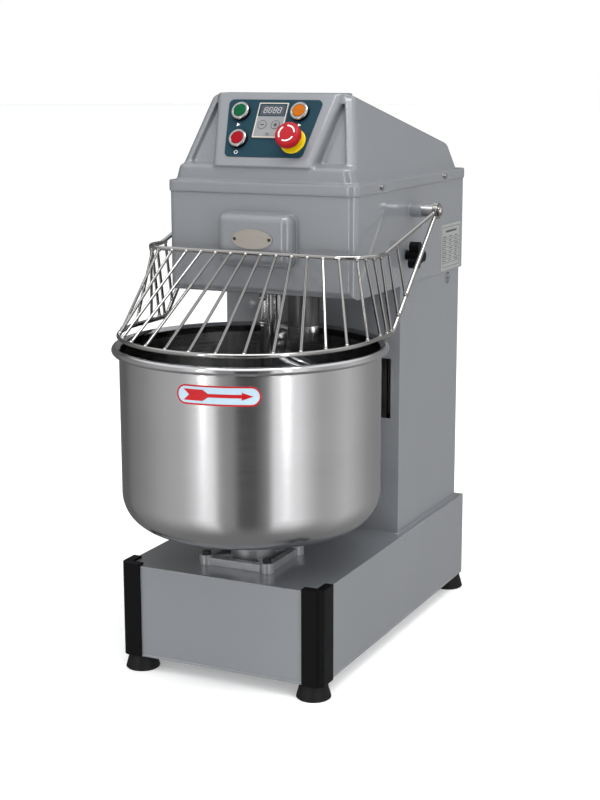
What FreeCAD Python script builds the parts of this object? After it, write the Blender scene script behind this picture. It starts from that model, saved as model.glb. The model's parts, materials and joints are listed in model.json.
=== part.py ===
import FreeCAD, Part
import math
import os
import re

# Floor-standing spiral dough mixer: steel base and column, gear head with a tilting control console,
# a turning bowl, a spiral hook, a fixed breaker bar and a wire guard that lifts.
# Frame: origin on the floor at the centre of the machine's box, +Z up, front towards -Y,
# +X to the operator's right. Lengths are millimetres.

Vec = FreeCAD.Vector
doc = FreeCAD.newDocument("spiral_dough_mixer")

SIZES = {
    # base cabinet, feet and corner guards
    "base_width": 340, "base_depth": 620, "base_low": 24, "base_top": 172.5, "base_mid": 47.5,
    "sheet": 2, "plate": 3, "foot_base": 27, "foot_neck": 21, "foot_x": 150, "foot_inset": 19,
    "guard_skin": 4, "guard_leg_x": 30, "guard_leg_y": 38, "guard_hook": 3.5, "guard_round": 12,
    "guard_lip": 10,
    # column
    "column_width": 318, "column_front": 69.5, "column_back": 341, "column_top": 599,
    "slot_inner": 90, "slot_outer": 143, "slot_low": 368, "slot_high": 468, "gland_z": 187,
    # head
    "head_width": 322, "head_front": -118.5, "head_back": 350.5, "head_low": 589, "head_top": 758,
    "head_round": 12, "head_inner_round": 10, "nose_half": 63, "nose_front": -144.5, "nose_low": 634,
    "nose_high": 716, "nose_round": 14, "badge_z": 678,
    # cover
    "rim_width": 327, "rim_low": 744, "rim_top": 762, "rim_lap": 2.4, "cover_skin": 3,
    "skirt_half": 155, "skirt_front": -110, "cover_rear": 339, "ridge_half": 121.5,
    "ridge_front": -41, "ridge_z": 895.4, "tail_rear": 322, "tail_z": 806, "cover_round": 14,
    "ledge_front": -111, "ledge_top": 787, "console_top_half": 109, "console_low_half": 85.5,
    "console_tilt": 60, "console_round": 9, "rib_width": 15, "pocket_low": 789, "pocket_high": 880,
    "pocket_low_y": -84, "pocket_high_y": -36,
    # control panel, measured in the plane of the console
    "panel_y": -82.1, "panel_z": 842.1, "panel_top_half": 81, "panel_low_half": 66,
    "panel_half_height": 49, "panel_thick": 1.5, "button_bezel": 15, "button_cap": 10.3,
    "button_proud": 9.5, "button_travel": 3, "stop_cap": 20.5, "stop_proud": 29,
    # bowl
    "bowl_y": -152, "bowl_radius": 202, "bowl_wall": 2, "bowl_low": 234, "bowl_corner": 56,
    "rim_radius": 213.5, "rim_tube": 6.5, "rim_z": 513,
    # tools
    "spiral_x": 50, "spiral_y": -67, "spiral_reach": 66, "spiral_bar": 10, "spiral_low": 256,
    "hub_radius": 25, "hub_low": 536, "breaker_x": -33, "breaker_y": -30, "breaker_bar": 10,
    "breaker_low": 262, "post_x": -30.6, "post_y": -6.8, "post_radius": 13, "post_low": 512,
    # wire guard
    "pivot_x": 205, "pivot_y": 105.5, "pivot_z": 708, "rod": 3.5, "wire": 2.3, "eye": 13,
    "top_rod_x": 194, "top_rod_y": -155, "top_rod_z": 658, "top_bend": 50, "arm_y": -85,
    "ring_radius": 200, "ring_y": -155, "ring_z": 535, "riser_y": -65, "riser_bend": 20,
    "knob_y": 88.5, "knob_z": 637, "screw_z": 753,
    # drive train
    "counter_x": -70, "counter_y": 120, "shaft": 10, "motor_x": 40, "motor_y": 240,
    "motor_radius": 68, "motor_pulley": 24, "drive_pulley": 80, "belt_z": 690,
    "idler_x": -55, "idler_y": 0, "roller_x": 115, "roller_radius": 15,
}

sheet = doc.addObject("Spreadsheet::Sheet", "dims")
for row, (alias, size) in enumerate(SIZES.items(), 1):
    sheet.set(f"A{row}", alias)
    sheet.set(f"B{row}", str(size))
    sheet.setAlias(f"B{row}", alias)
doc.recompute()


def cell(alias):
    """A driving size, read back from the sheet."""
    return float(getattr(sheet, alias))


def expr(text):
    """An expression in which every plain word is a cell of the sheet."""
    return re.sub(r"[a-z][a-z_]+", lambda word: "dims." + word.group(0), str(text))


def bind(obj, **sizes):
    for prop, text in sizes.items():
        obj.setExpression(prop, expr(text))
    return obj


def place(obj, spot, axis=(0, 0, 1), angle=0):
    """Put an object at three expressions, turned about an axis."""
    obj.Placement = FreeCAD.Placement(Vec(0, 0, 0), FreeCAD.Rotation(Vec(*axis), angle))
    for letter, text in zip("xyz", spot):
        obj.setExpression("Placement.Base." + letter, expr(text))
    return obj


def block(name, low, high):
    """A box between two corners that are given as expressions."""
    obj = doc.addObject("Part::Box", name)
    for prop, small, large in zip(("Length", "Width", "Height"), low, high):
        obj.setExpression(prop, expr(f"({large}) - ({small})"))
    return place(obj, low)


GAP = 0.3       # clearance between two pieces that touch loosely
AXES = {"x": ((0, 1, 0), 90), "y": ((1, 0, 0), -90), "z": ((0, 0, 1), 0)}


def rod(name, spot, radius, length, along="z"):
    """A cylinder from spot towards plus x, y or z."""
    obj = bind(doc.addObject("Part::Cylinder", name), Radius=radius, Height=length)
    return place(obj, spot, *AXES[along])


def fuse(name, *pieces):
    obj = doc.addObject("Part::MultiFuse", name)
    obj.Shapes = list(pieces)
    obj.Refine = True
    return obj


def cut(name, base, *tools):
    obj = doc.addObject("Part::Cut", name)
    obj.Base = base
    obj.Tool = tools[0] if len(tools) == 1 else fuse(name + "_tools", *tools)
    obj.Refine = True
    return obj


def rounded(name, base, radius, wanted):
    """Round the straight edges for which wanted(start, end) is true."""
    doc.recompute()
    obj = doc.addObject("Part::Fillet", name)
    obj.Base = base
    picked = []
    for number, edge in enumerate(base.Shape.Edges, 1):
        if len(edge.Vertexes) == 2 and isinstance(edge.Curve, Part.Line):
            if wanted(edge.Vertexes[0].Point, edge.Vertexes[1].Point):
                picked.append((number, cell(radius), cell(radius)))
    obj.Edges = picked
    return obj


def upright(a, b):
    return abs(a.x - b.x) < 0.01 and abs(a.y - b.y) < 0.01


def group(name, pieces):
    """Separate identical solids that share one node."""
    obj = doc.addObject("Part::Compound", name)
    obj.Links = list(pieces)
    return obj


def raw(name, shape):
    """A shape made with Part's own functions, from sizes read from the sheet."""
    obj = doc.addObject("Part::Feature", name)
    obj.Shape = shape
    return obj


def profile_body(name, feature, outline, plane="XZ_Plane", spot=("0", "0", "0"), length=None):
    """A PartDesign body: one closed sketch, padded or turned about the sketch's vertical axis.

    Each outline entry is a point (a, b), or (a, b, bulge_a, bulge_b) for an arc that reaches
    (a, b) through the bulge point."""
    body = doc.addObject("PartDesign::Body", name)
    sketch = body.newObject("Sketcher::SketchObject", name + "_sketch")
    plane_feature = next(f for f in body.Origin.OriginFeatures if f.Role == plane)
    sketch.AttachmentSupport = (plane_feature, "")
    sketch.MapMode = "FlatFace"
    last = outline[-1]
    for point in outline:
        start, end = Vec(last[0], last[1]), Vec(point[0], point[1])
        if len(point) == 4:
            sketch.addGeometry(Part.Arc(start, Vec(point[2], point[3]), end), False)
        else:
            sketch.addGeometry(Part.LineSegment(start, end), False)
        last = point
    if feature == "Revolution":
        solid = body.newObject("PartDesign::Revolution", name + "_turned")
        solid.Profile = sketch
        solid.ReferenceAxis = (sketch, ["V_Axis"])
        solid.Angle = 360
    else:
        solid = body.newObject("PartDesign::Pad", name + "_pad")
        solid.Profile = sketch
        bind(solid, Length=length)
    body.Tip = solid
    return place(body, spot)


def slab(points):
    """A closed solid with eight corners: four below, then the four above them."""
    quads = ((3, 2, 1, 0), (4, 5, 6, 7), (0, 1, 5, 4), (1, 2, 6, 5), (2, 3, 7, 6), (3, 0, 4, 7))
    faces = []
    for quad in quads:
        ring = [Vec(*points[i]) for i in quad]
        faces.append(Part.Face(Part.makePolygon(ring + ring[:1])))
    return Part.makeSolid(Part.makeShell(faces))


def soften(shape, radius, wanted):
    edges = [e for e in shape.Edges if wanted(*(v.Point for v in e.Vertexes))]
    return shape.makeFillet(radius, edges)


def bent_path(points, bends):
    """A wire of straight runs joined by tangent arcs; bends holds one radius per inner point."""
    parts, start = [], Vec(*points[0])
    for before, corner, after, radius in zip(points, points[1:], points[2:], bends):
        corner, one, two = Vec(*corner), Vec(*before), Vec(*after)
        back, ahead = (one - corner).normalize(), (two - corner).normalize()
        half = back.getAngle(ahead) / 2
        reach = radius / math.tan(half)
        first, second = corner + back * reach, corner + ahead * reach
        middle = (back + ahead).normalize()
        bulge = corner + middle * (radius / math.sin(half) - radius)
        parts.append(Part.LineSegment(start, first).toShape())
        parts.append(Part.Arc(first, bulge, second).toShape())
        start = second
    parts.append(Part.LineSegment(start, Vec(*points[-1])).toShape())
    return Part.Wire(parts)


def tube_along(wire, radius):
    edge = wire.Edges[0]
    circle = Part.Circle(edge.Vertexes[0].Point, edge.tangentAt(edge.FirstParameter), radius)
    return wire.makePipeShell([Part.Wire(circle.toShape())], True, False)


def between(a, b, radius):
    a, b = Vec(*a), Vec(*b)
    return Part.makeCylinder(radius, (b - a).Length, a, b - a)


# ---------------------------------------------------------------- base cabinet, feet and guards
half_width = "base_width / 2"
front, back = "base_mid - base_depth / 2", "base_mid + base_depth / 2"
bowl_hole = rod("bowl_shaft_hole", ("0", "bowl_y", "base_low"), "33", "base_top - base_low + 1")
base_shell = cut(
    "base_shell",
    block("base_outer", ("-base_width / 2", front, "base_low + plate"), (half_width, back, "base_top")),
    block("base_inner", ("-base_width / 2 + sheet", front + " + sheet", "base_low"),
          ("base_width / 2 - sheet", back + " - sheet", "base_top - sheet")),
    bowl_hole,
    block("column_well", ("-130", "column_front + 20", "base_low"),
          ("130", "column_back - 20", "base_top + 1")),
)

foot_spots = {}
for side, sign in (("left", "-"), ("right", "")):
    foot_spots["front_" + side] = (sign + "foot_x", front + " + foot_inset", "0")
    foot_spots["rear_" + side] = (sign + "foot_x", back + " - foot_inset", "0")
base_plate = cut(
    "base_plate",
    block("base_plate_blank", ("-base_width / 2", front, "base_low"), (half_width, back, "base_low + plate")),
    *[rod("stud_hole_" + spot, (where[0], where[1], "base_low - 1"), "5.2", "plate + 2")
      for spot, where in foot_spots.items()],
)
feet = {}
for spot, where in foot_spots.items():
    wide, neck, tall = cell("foot_base"), cell("foot_neck"), cell("base_low")
    outline = [(6, 0), (wide - 2, 0), (wide, 2), (wide - 1, 6), (neck, tall), (5.2, tall), (5.2, 10), (6, 10)]
    feet[spot] = profile_body("foot_" + spot, "Revolution", outline, spot=where)
group("rubber_feet", feet.values())
foot_studs = group("foot_studs", [
    fuse("stud_" + spot, rod("stud_shank_" + spot, (where[0], where[1], "10"), "5", "32"),
         rod("stud_nut_" + spot, (where[0], where[1], "base_low + plate"), "9", "8"))
    for spot, where in foot_spots.items()])

guards = []
for side, sign in (("left", -1), ("right", 1)):
    outer = "base_width / 2 + guard_skin"
    inner = "base_width / 2 - guard_leg_x"
    flat = "base_width / 2"
    x_range = (inner, outer) if sign > 0 else ("-(" + outer + ")", "-(" + inner + ")")
    x_base = ("0", flat) if sign > 0 else ("-" + flat, "0")
    blank = block("guard_blank_" + side, (x_range[0], front + " - guard_skin", "base_low + 0.5"),
                  (x_range[1], front + " + guard_leg_y", "base_top + guard_hook"))
    edge_x = sign * (cell("base_width") / 2 + cell("guard_skin"))
    edge_y = cell("base_mid") - cell("base_depth") / 2 - cell("guard_skin")
    soft = rounded("guard_rounded_" + side, blank, "guard_round",
                   lambda a, b: upright(a, b) and abs(a.x - edge_x) < 0.1 and abs(a.y - edge_y) < 0.1)
    lip_x = (x_base[0], flat + " - guard_lip") if sign > 0 else ("-(" + flat + " - guard_lip)", x_base[1])
    guards.append(cut(
        "corner_guard_" + side, soft,
        block("guard_seat_" + side, (x_base[0], front, "0"), (x_base[1], "0", "base_top")),
        block("guard_open_" + side, (lip_x[0], front + " + guard_lip", "base_top - 1"),
              (lip_x[1], "0", "base_top + guard_hook + 1"))))
group("corner_guards", guards)

# ---------------------------------------------------------------- column
slots = [block("slot_right", ("slot_inner", "column_front - 5", "slot_low"),
               ("slot_outer", "column_front + 5", "slot_high")),
         block("slot_left", ("-slot_outer", "column_front - 5", "slot_low"),
               ("-slot_inner", "column_front + 5", "slot_high"))]
rear_door_hole = block("rear_door_hole", ("-120", "column_back - 5", "215"),
                       ("120", "column_back + 1", "560"))
gland_hole = rod("gland_hole", ("90", "column_back - 5", "gland_z"), "9", "10", "y")
column_shell = cut(
    "column_shell",
    block("column_outer", ("-column_width / 2", "column_front", "base_top"),
          ("column_width / 2", "column_back", "column_top")),
    block("column_inner", ("-column_width / 2 + sheet", "column_front + sheet", "base_top - 1"),
          ("column_width / 2 - sheet", "column_back - sheet", "column_top + 1")),
    rear_door_hole, gland_hole, *slots)
louvres = [block(f"louvre_{row}", ("-70", "column_back - 1", f"{250 + 16 * row}"),
                 ("70", "column_back + 6", f"{255 + 16 * row}")) for row in range(8)]
rear_door = cut("rear_door", block("rear_door_blank", ("-132", "column_back", "203"),
                                   ("132", "column_back + 3", "572")), *louvres)
rear_door_screws = [
    rod(f"door_screw_{n}", (x, "column_back + 3", z), "4.5", "2.5", "y")
    for n, (x, z) in enumerate((("-124", "215"), ("124", "215"), ("-124", "560"), ("124", "560")))]
cable_gland = cut(
    "cable_gland",
    fuse("gland_body", rod("gland_thread", ("90", "column_back - 8", "gland_z"), "8.8", "10", "y"),
         rod("gland_nut", ("90", "column_back", "gland_z"), "13", "8", "y"),
         rod("gland_cap", ("90", "column_back + 8", "gland_z"), "10.5", "10", "y")),
    rod("gland_bore", ("90", "column_back - 9", "gland_z"), "4", "40", "y"))

# ---------------------------------------------------------------- head housing
head_outer = rounded(
    "head_outer", block("head_blank", ("-head_width / 2", "head_front", "head_low"),
                        ("head_width / 2", "head_back", "head_top")), "head_round",
    lambda a, b: (upright(a, b) and a.y < 0) or (abs(a.z - cell("head_low")) < 0.1 and a.y < 0 and b.y < 0))
head_inner = rounded(
    "head_inner_rounded",
    block("head_inner", ("-head_width / 2 + sheet", "head_front + sheet", "head_low + sheet"),
          ("head_width / 2 - sheet", "head_back - sheet", "head_top + 1")), "head_inner_round",
    lambda a, b: (upright(a, b) and a.y < 0) or (max(a.z, b.z) < cell("head_low") + 3 and max(a.y, b.y) < 0))
head_well = block("head_well", ("-column_width / 2", "column_front", "head_low - 1"),
                  ("column_width / 2", "head_back - sheet", "head_low + sheet + 1"))
nose_blank = block("nose_blank", ("-nose_half", "nose_front", "nose_low"),
                   ("nose_half", "head_front + 1", "nose_high"))
nose = rounded("nose", nose_blank, "nose_round",
               lambda a, b: min(a.y, b.y) < cell("nose_front") + 0.1)
hub_hole = rod("hub_hole", ("spiral_x", "spiral_y", "head_low - 1"), "hub_radius + 1.5", "sheet + 2")
pivot_holes = rod("pivot_holes", ("-head_width", "pivot_y", "pivot_z"), "6", "2 * head_width", "x")
knob_hole = rod("knob_hole", ("head_width / 2 - 5", "knob_y", "knob_z"), "5.2", "10", "x")
screw_spots = [(x, y) for y in ("-24", "253") for x in ("rim_width / 2", "-rim_width / 2")]
screw_holes = [rod(f"screw_hole_{n}", ("-head_width", y, "screw_z"), "2.7", "2 * head_width", "x")
               for n, y in enumerate(("-24", "253"))]
bosses = [rod("boss_right", ("head_width / 2 - 0.5", "pivot_y", "pivot_z"), "11.5", "20.5", "x"),
          rod("boss_left", ("-head_width / 2 - 20", "pivot_y", "pivot_z"), "11.5", "20.5", "x")]
head_housing = cut("head_housing", fuse("head_solid", head_outer, nose, *bosses), head_inner, head_well,
                   hub_hole, pivot_holes, knob_hole, *screw_holes)
doc.recompute()

# ---------------------------------------------------------------- cover with its console
def cover_hull(inset):
    """The sloping box of the cover, from its skirt up to the roof, made smaller all round by inset."""
    low, high = cell("rim_top") - (1 if inset else 0), cell("ridge_z") - inset
    tail = cell("tail_z") - inset
    skirt, ridge = cell("skirt_half") - inset, cell("ridge_half") - inset
    end = skirt - (skirt - ridge) * (tail - low) / (high - low)
    front_low, front_high = cell("skirt_front") + inset, cell("ridge_front") + inset
    rear_low, rear_high = cell("cover_rear") - inset, cell("tail_rear") - inset
    return slab([(-skirt, front_low, low), (skirt, front_low, low), (skirt, rear_low, low),
                 (-skirt, rear_low, low), (-ridge, front_high, high), (ridge, front_high, high),
                 (end, rear_high, tail), (-end, rear_high, tail)])


def console_block(inset):
    """The raised console: its sloping face narrows downwards and its ridge meets the roof."""
    face_y = cell("panel_y")
    lean = 1 / math.tan(math.radians(cell("console_tilt")))
    top, low = cell("ridge_z") - inset, cell("ledge_top") - 2
    wide, narrow = cell("console_top_half") - inset, cell("console_low_half") - inset
    y_top = face_y + (top - cell("panel_z")) * lean + inset
    y_low = face_y + (low - cell("panel_z")) * lean + inset
    return slab([(-narrow, y_low, low), (narrow, y_low, low), (narrow, y_low + 90, low),
                 (-narrow, y_low + 90, low), (-wide, y_top, top), (wide, y_top, top),
                 (wide, y_top + 40, top), (-wide, y_top + 40, top)])


def pocket(sign, gap):
    """The sunk triangle between the console and the rib on one side, made larger by gap."""
    low, high = cell("pocket_low"), cell("pocket_high")
    slope = (cell("skirt_half") - cell("ridge_half")) / (cell("ridge_z") - cell("rim_top"))
    corners = []
    for z, back_y in ((low - gap, cell("pocket_low_y")), (high, cell("pocket_high_y"))):
        edge = cell("skirt_half") - slope * (z - cell("rim_top")) - cell("rib_width") + gap
        near, far = sorted((sign * cell("console_low_half") / 2, sign * edge))
        y_front, y_back = 2 * cell("ledge_front"), back_y + gap
        corners += [(near, y_front, z), (far, y_front, z), (far, y_back, z), (near, y_back, z)]
    return slab(corners)


def ledge_block():
    """The low step across the front, its ends flush with the sloping sides of the hull."""
    low, high = cell("rim_top"), cell("ledge_top")
    slope = (cell("skirt_half") - cell("ridge_half")) / (cell("ridge_z") - low)
    wide, narrow, y = cell("skirt_half"), cell("skirt_half") - slope * (high - low), cell("ledge_front")
    back, top_y = y + 40, y + 1
    step = slab([(-wide, y, low), (wide, y, low), (wide, back, low), (-wide, back, low),
                 (-narrow, top_y, high), (narrow, top_y, high), (narrow, back, high), (-narrow, back, high)])
    step = soften(step, 14, lambda a, b: abs(a.z - b.z) > 1 and max(a.y, b.y) < y + 2)
    return soften(step, 8, lambda a, b: min(a.z, b.z) > high - 0.1 and min(a.y, b.y) < y + 20)


def hull_edge(a, b):
    """True for every edge of the hull but those round its open bottom."""
    return max(a.z, b.z) > cell("rim_top") + 2


def console_edge(a, b):
    """True for the edges that frame the sloping face of the console."""
    return (a.y + b.y) / 2 < cell("panel_y") + 30 and max(a.z, b.z) > 800


hull = soften(cover_hull(0), cell("cover_round"), hull_edge)
hull = hull.cut([pocket(sign, 0) for sign in (-1, 1)])
console = soften(console_block(0), cell("console_round"), console_edge)
head_depth = cell("head_back") - cell("head_front")
rim = Part.makeBox(cell("rim_width"), head_depth + 2 * cell("rim_lap"), cell("rim_top") - cell("rim_low"),
                   Vec(-cell("rim_width") / 2, cell("head_front") - cell("rim_lap"), cell("rim_low")))
rim = soften(rim, cell("head_round") + 3, lambda a, b: upright(a, b) and a.y < 0)
seat = Part.makeBox(cell("head_width") + 2 * GAP, head_depth + 2 * GAP,
                    cell("head_top") - cell("rim_low") + 1 + GAP,
                    Vec(-cell("head_width") / 2 - GAP, cell("head_front") - GAP, cell("rim_low") - 1))
seat = soften(seat, cell("head_round") + GAP, lambda a, b: upright(a, b) and a.y < 0)
skin = cell("cover_skin")
hollow = soften(cover_hull(skin), cell("cover_round") - skin, hull_edge)
console_hollow = soften(console_block(skin), cell("console_round") - skin, console_edge)
hollow = hollow.cut([pocket(sign, skin) for sign in (-1, 1)]).fuse(console_hollow)
cavity_half = cell("skirt_half") - 12
cavity = Part.makeBox(2 * cavity_half, cell("cover_rear") - cell("ledge_front") - 12, 18,
                      Vec(-cavity_half, cell("ledge_front") + 6, cell("rim_top")))
top_cover = hull.fuse([console, ledge_block(), rim]).cut([seat, hollow, cavity]).removeSplitter()


def on_panel(name, across, up, radius, low, high):
    """A cylinder square to the console face, from low to high above it."""
    return in_panel(Part.makeCylinder(cell(radius) if isinstance(radius, str) else radius,
                                      high - low, Vec(across, up, low)))


def soften_top(shape, radius):
    """Round the highest round edge on the outside of a turned piece."""
    top = max(e.BoundBox.ZMax for e in shape.Edges)
    rims = [e for e in shape.Edges if abs(e.BoundBox.ZMin - top) < 0.001 and isinstance(e.Curve, Part.Circle)]
    return shape.makeFillet(radius, [max(rims, key=lambda e: e.Curve.Radius)])


def in_panel(shape):
    """Move a shape drawn flat, face up, onto the console's plane."""
    shape.Placement = FreeCAD.Placement(Vec(0, cell("panel_y"), cell("panel_z")),
                                        FreeCAD.Rotation(Vec(1, 0, 0), cell("console_tilt")))
    return shape


BUTTONS = {"slow_button": (-54.6, 26.6), "stop_button": (-47.5, -20.4), "fast_button": (46.5, 27.2)}
STOP = (46, -22)
KEYS = {"timer_key_minus": (-12.3, 4.5), "timer_key_plus": (10.3, 4.5)}
TIMER_LOW, TIMER_HIGH, TIMER_HALF = -17.5, 42, 25
holes = [on_panel("", *spot, 11.2, -30, 20) for spot in list(BUTTONS.values()) + [STOP]]
timer_hole = in_panel(Part.makeBox(2 * TIMER_HALF - 8, TIMER_HIGH - TIMER_LOW - 8, 60,
                                   Vec(-TIMER_HALF + 4, TIMER_LOW + 4, -30)))
raw("top_cover", top_cover.cut(holes + [timer_hole] + [h.Shape for h in screw_holes]))
rivets = [rod(f"badge_rivet_{n}", (x, "nose_front - 2.1", "badge_z"), "2.2", "0.9", "y")
          for n, x in enumerate(("-29.5", "29.5"))]
cover_screws = []
for n, (x, y) in enumerate(screw_spots):
    shank_x, head_x = (x, x + " - 2.4") if x.startswith("-") else (x + " - 7", x)
    cover_screws.append(fuse(f"cover_screw_{n}",
                             rod(f"screw_shank_{n}", (shank_x, y, "screw_z"), "2.5", "7", "x"),
                             rod(f"screw_head_{n}", (head_x, y, "screw_z"), "4.4", "2.4", "x")))
group("case_fixings", rear_door_screws + rivets + cover_screws)

# ---------------------------------------------------------------- control panel
thick = cell("panel_thick")
top_half, low_half, tall = cell("panel_top_half"), cell("panel_low_half"), cell("panel_half_height")
plate_outline = [Vec(-low_half, -tall, 0), Vec(low_half, -tall, 0),
                 Vec(top_half, tall, 0), Vec(-top_half, tall, 0)]
plate_blank = Part.Face(Part.makePolygon(plate_outline + plate_outline[:1])).extrude(Vec(0, 0, thick))
plate_blank = soften(plate_blank, 8, upright)
plate_blank = in_panel(plate_blank).cut(holes + [timer_hole])
raw("control_panel_plate", plate_blank)

timer = Part.makeBox(2 * TIMER_HALF, TIMER_HIGH - TIMER_LOW, 2.5, Vec(-TIMER_HALF, TIMER_LOW, thick))
timer = timer.fuse(Part.makeBox(2 * TIMER_HALF - 9, TIMER_HIGH - TIMER_LOW - 9, 26 + thick,
                                Vec(-TIMER_HALF + 4.5, TIMER_LOW + 4.5, -26)))
timer = timer.cut(Part.makeBox(41, 18, 2, Vec(-20.5, 20.5, thick + 1.5)))
for spot in KEYS.values():
    timer = timer.cut(Part.makeCylinder(6.9, 4, Vec(*spot, thick - 1)))
    timer = timer.cut(Part.makeCylinder(3.1, 12, Vec(*spot, thick - 9)))
raw("timer_unit", in_panel(timer))
raw("timer_window", in_panel(Part.makeBox(40.6, 17.6, 1, Vec(-20.3, 20.7, thick + 1.5))))
for name, spot in KEYS.items():
    key = Part.makeCylinder(6.6, 2.4, Vec(*spot, thick + 0.3))
    key = key.fuse(Part.makeCylinder(2.8, 5, Vec(*spot, thick - 4.7)))
    raw(name, in_panel(key))

bezels, bodies = [], []
proud, travel = cell("button_proud"), cell("button_travel")
for name, spot in BUTTONS.items():
    ring = Part.makeCylinder(cell("button_bezel"), proud - 0.5 - thick, Vec(*spot, thick))
    ring = soften_top(ring, 2).cut(Part.makeCylinder(cell("button_cap") + 0.4, 20, Vec(*spot, 0)))
    bezels.append(in_panel(ring))
    cap = Part.makeCylinder(cell("button_cap"), proud - 3.5, Vec(*spot, 3.5))
    cap = soften_top(cap, 1.2).fuse(Part.makeCylinder(5, 12, Vec(*spot, -8.5)))
    raw(name, in_panel(cap))
    body = Part.makeCylinder(10.9, 34.8, Vec(*spot, -35)).cut(Part.makeCylinder(5.4, 16, Vec(*spot, -12.5)))
    bodies.append(in_panel(body.fuse(Part.makeCylinder(14, 4, Vec(*spot, -8)).cut(
        Part.makeCylinder(10.9, 4, Vec(*spot, -8))))))
raw("button_bezels", Part.makeCompound(bezels))

stop_proud = cell("stop_proud")
collar = Part.makeCylinder(cell("stop_cap"), 3, Vec(*STOP, thick))
collar = collar.cut(Part.makeCylinder(11.3, 9, Vec(*STOP, 0)))
raw("stop_collar", in_panel(soften_top(collar, 1)))
housing = Part.makeCylinder(11, 45, Vec(*STOP, -35)).cut(Part.makeCylinder(5.4, 60, Vec(*STOP, -13)))
raw("switch_bodies", Part.makeCompound(bodies + [in_panel(housing)]))
stem = Part.makeCylinder(5, 26, Vec(*STOP, -6)).fuse(Part.makeCylinder(8, 3, Vec(*STOP, 14.4)))
raw("stop_stem", in_panel(stem))
mushroom = Part.makeCylinder(cell("stop_cap"), stop_proud - 17.8, Vec(*STOP, 17.8))
mushroom = soften_top(mushroom, 5).cut(Part.makeCylinder(5.1, 6, Vec(*STOP, 14.8)))
raw("stop_mushroom", in_panel(mushroom))

# ---------------------------------------------------------------- name badge and rating plate
nose_face = cell("nose_front")
badge_middle = Vec(0, nose_face, cell("badge_z"))
badge = Part.Face(Part.Wire(Part.Ellipse(badge_middle, 35, 15.2).toShape()))
badge.rotate(badge_middle, Vec(1, 0, 0), 90)
raw("name_badge", badge.extrude(Vec(0, -1.2, 0)))
block("rating_plate", ("head_width / 2", "246", "591.5"), ("head_width / 2 + 0.8", "340", "670.5"))

# ---------------------------------------------------------------- bowl
R, wall, low, corner = cell("bowl_radius"), cell("bowl_wall"), cell("bowl_low"), cell("bowl_corner")
rim_z, tube, rim_r = cell("rim_z"), cell("rim_tube"), cell("rim_radius")
bevel = corner * (1 - math.sqrt(0.5))
middle_in = (corner - wall) * math.sqrt(0.5)
neck_z = rim_z - tube * 0.6
outline = [
    (0, low), (R - corner, low), (R, low + corner, R - bevel, low + bevel), (R, neck_z),
    (rim_r - tube, rim_z - tube), (rim_r - tube, rim_z + tube, rim_r, rim_z), (R - wall, rim_z + 1),
    (R - wall, low + corner),
    (R - corner, low + wall, R - corner + middle_in, low + corner - middle_in),
    (0, low + wall)]
profile_body("bowl", "Revolution", outline, spot=("0", "bowl_y", "0"))
hub_outline = [(0, low), (0, 58), (14, 58), (14, 176), (16, 176), (16, low - 8), (60, low - 8), (60, low)]
profile_body("bowl_hub", "Revolution", hub_outline, spot=("0", "bowl_y", "0"))


def curved_label(radius, thickness, low_angle, high_angle, low_z, high_z):
    """A thin sleeve segment about the bowl's axis."""
    sleeve = Part.makeCylinder(radius + thickness, high_z - low_z, Vec(0, 0, low_z), Vec(0, 0, 1),
                               high_angle - low_angle)
    sleeve = sleeve.cut(Part.makeCylinder(radius, high_z - low_z, Vec(0, 0, low_z)))
    sleeve.rotate(Vec(0, 0, 0), Vec(0, 0, 1), low_angle)
    sleeve.translate(Vec(0, cell("bowl_y"), 0))
    return sleeve


raw("rotation_label", curved_label(R, 0.4, -94.3, -58.5, 462, 491))

# cast bearing spider under the bowl
spider_low = cell("base_top")
bosses = [(x, y) for x in (-53, 53) for y in (-53, 53)]
centre = Vec(0, cell("bowl_y"), 0)
spider = Part.makeCylinder(34, 40, centre + Vec(0, 0, spider_low))
for (ax, ay), (bx, by) in zip(bosses, (bosses[1], bosses[3], bosses[0], bosses[2])):
    run = Vec(bx - ax, by - ay, 0)
    beam = Part.makeBox(run.Length, 12, 12, Vec(0, -6, 0))
    beam.rotate(Vec(0, 0, 0), Vec(0, 0, 1), math.degrees(math.atan2(run.y, run.x)))
    beam.translate(centre + Vec(ax, ay, spider_low))
    rib = Part.makeBox(math.hypot(ax, ay), 10, 11, Vec(0, -5, 0))
    rib.rotate(Vec(0, 0, 0), Vec(0, 0, 1), math.degrees(math.atan2(ay, ax)))
    rib.translate(centre + Vec(0, 0, spider_low))
    spider = spider.fuse([beam, rib, Part.makeCylinder(11.5, 16, centre + Vec(ax, ay, spider_low))])
spider = spider.fuse(Part.makeCylinder(32.5, 30, centre + Vec(0, 0, spider_low - 30)))
spider = spider.cut([Part.makeCylinder(27, 100, centre + Vec(0, 0, spider_low - 50))]
                    + [Part.makeCylinder(4.2, 30, centre + Vec(x, y, spider_low - 1)) for x, y in bosses])
raw("bearing_spider", spider.removeSplitter())
raw("spider_screws", Part.makeCompound([
    Part.makeCylinder(4, 16, centre + Vec(x, y, spider_low)).fuse(
        Part.makeCylinder(6.5, 5, centre + Vec(x, y, spider_low + 16))) for x, y in bosses]))


def ring(outer, hole, height, spot):
    return Part.makeCylinder(outer, height, Vec(*spot)).cut(Part.makeCylinder(hole, height, Vec(*spot)))


bowl_bearings = [ring(26.95, 16.05, 14, (0, cell("bowl_y"), z)) for z in (150, 192)]

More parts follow.
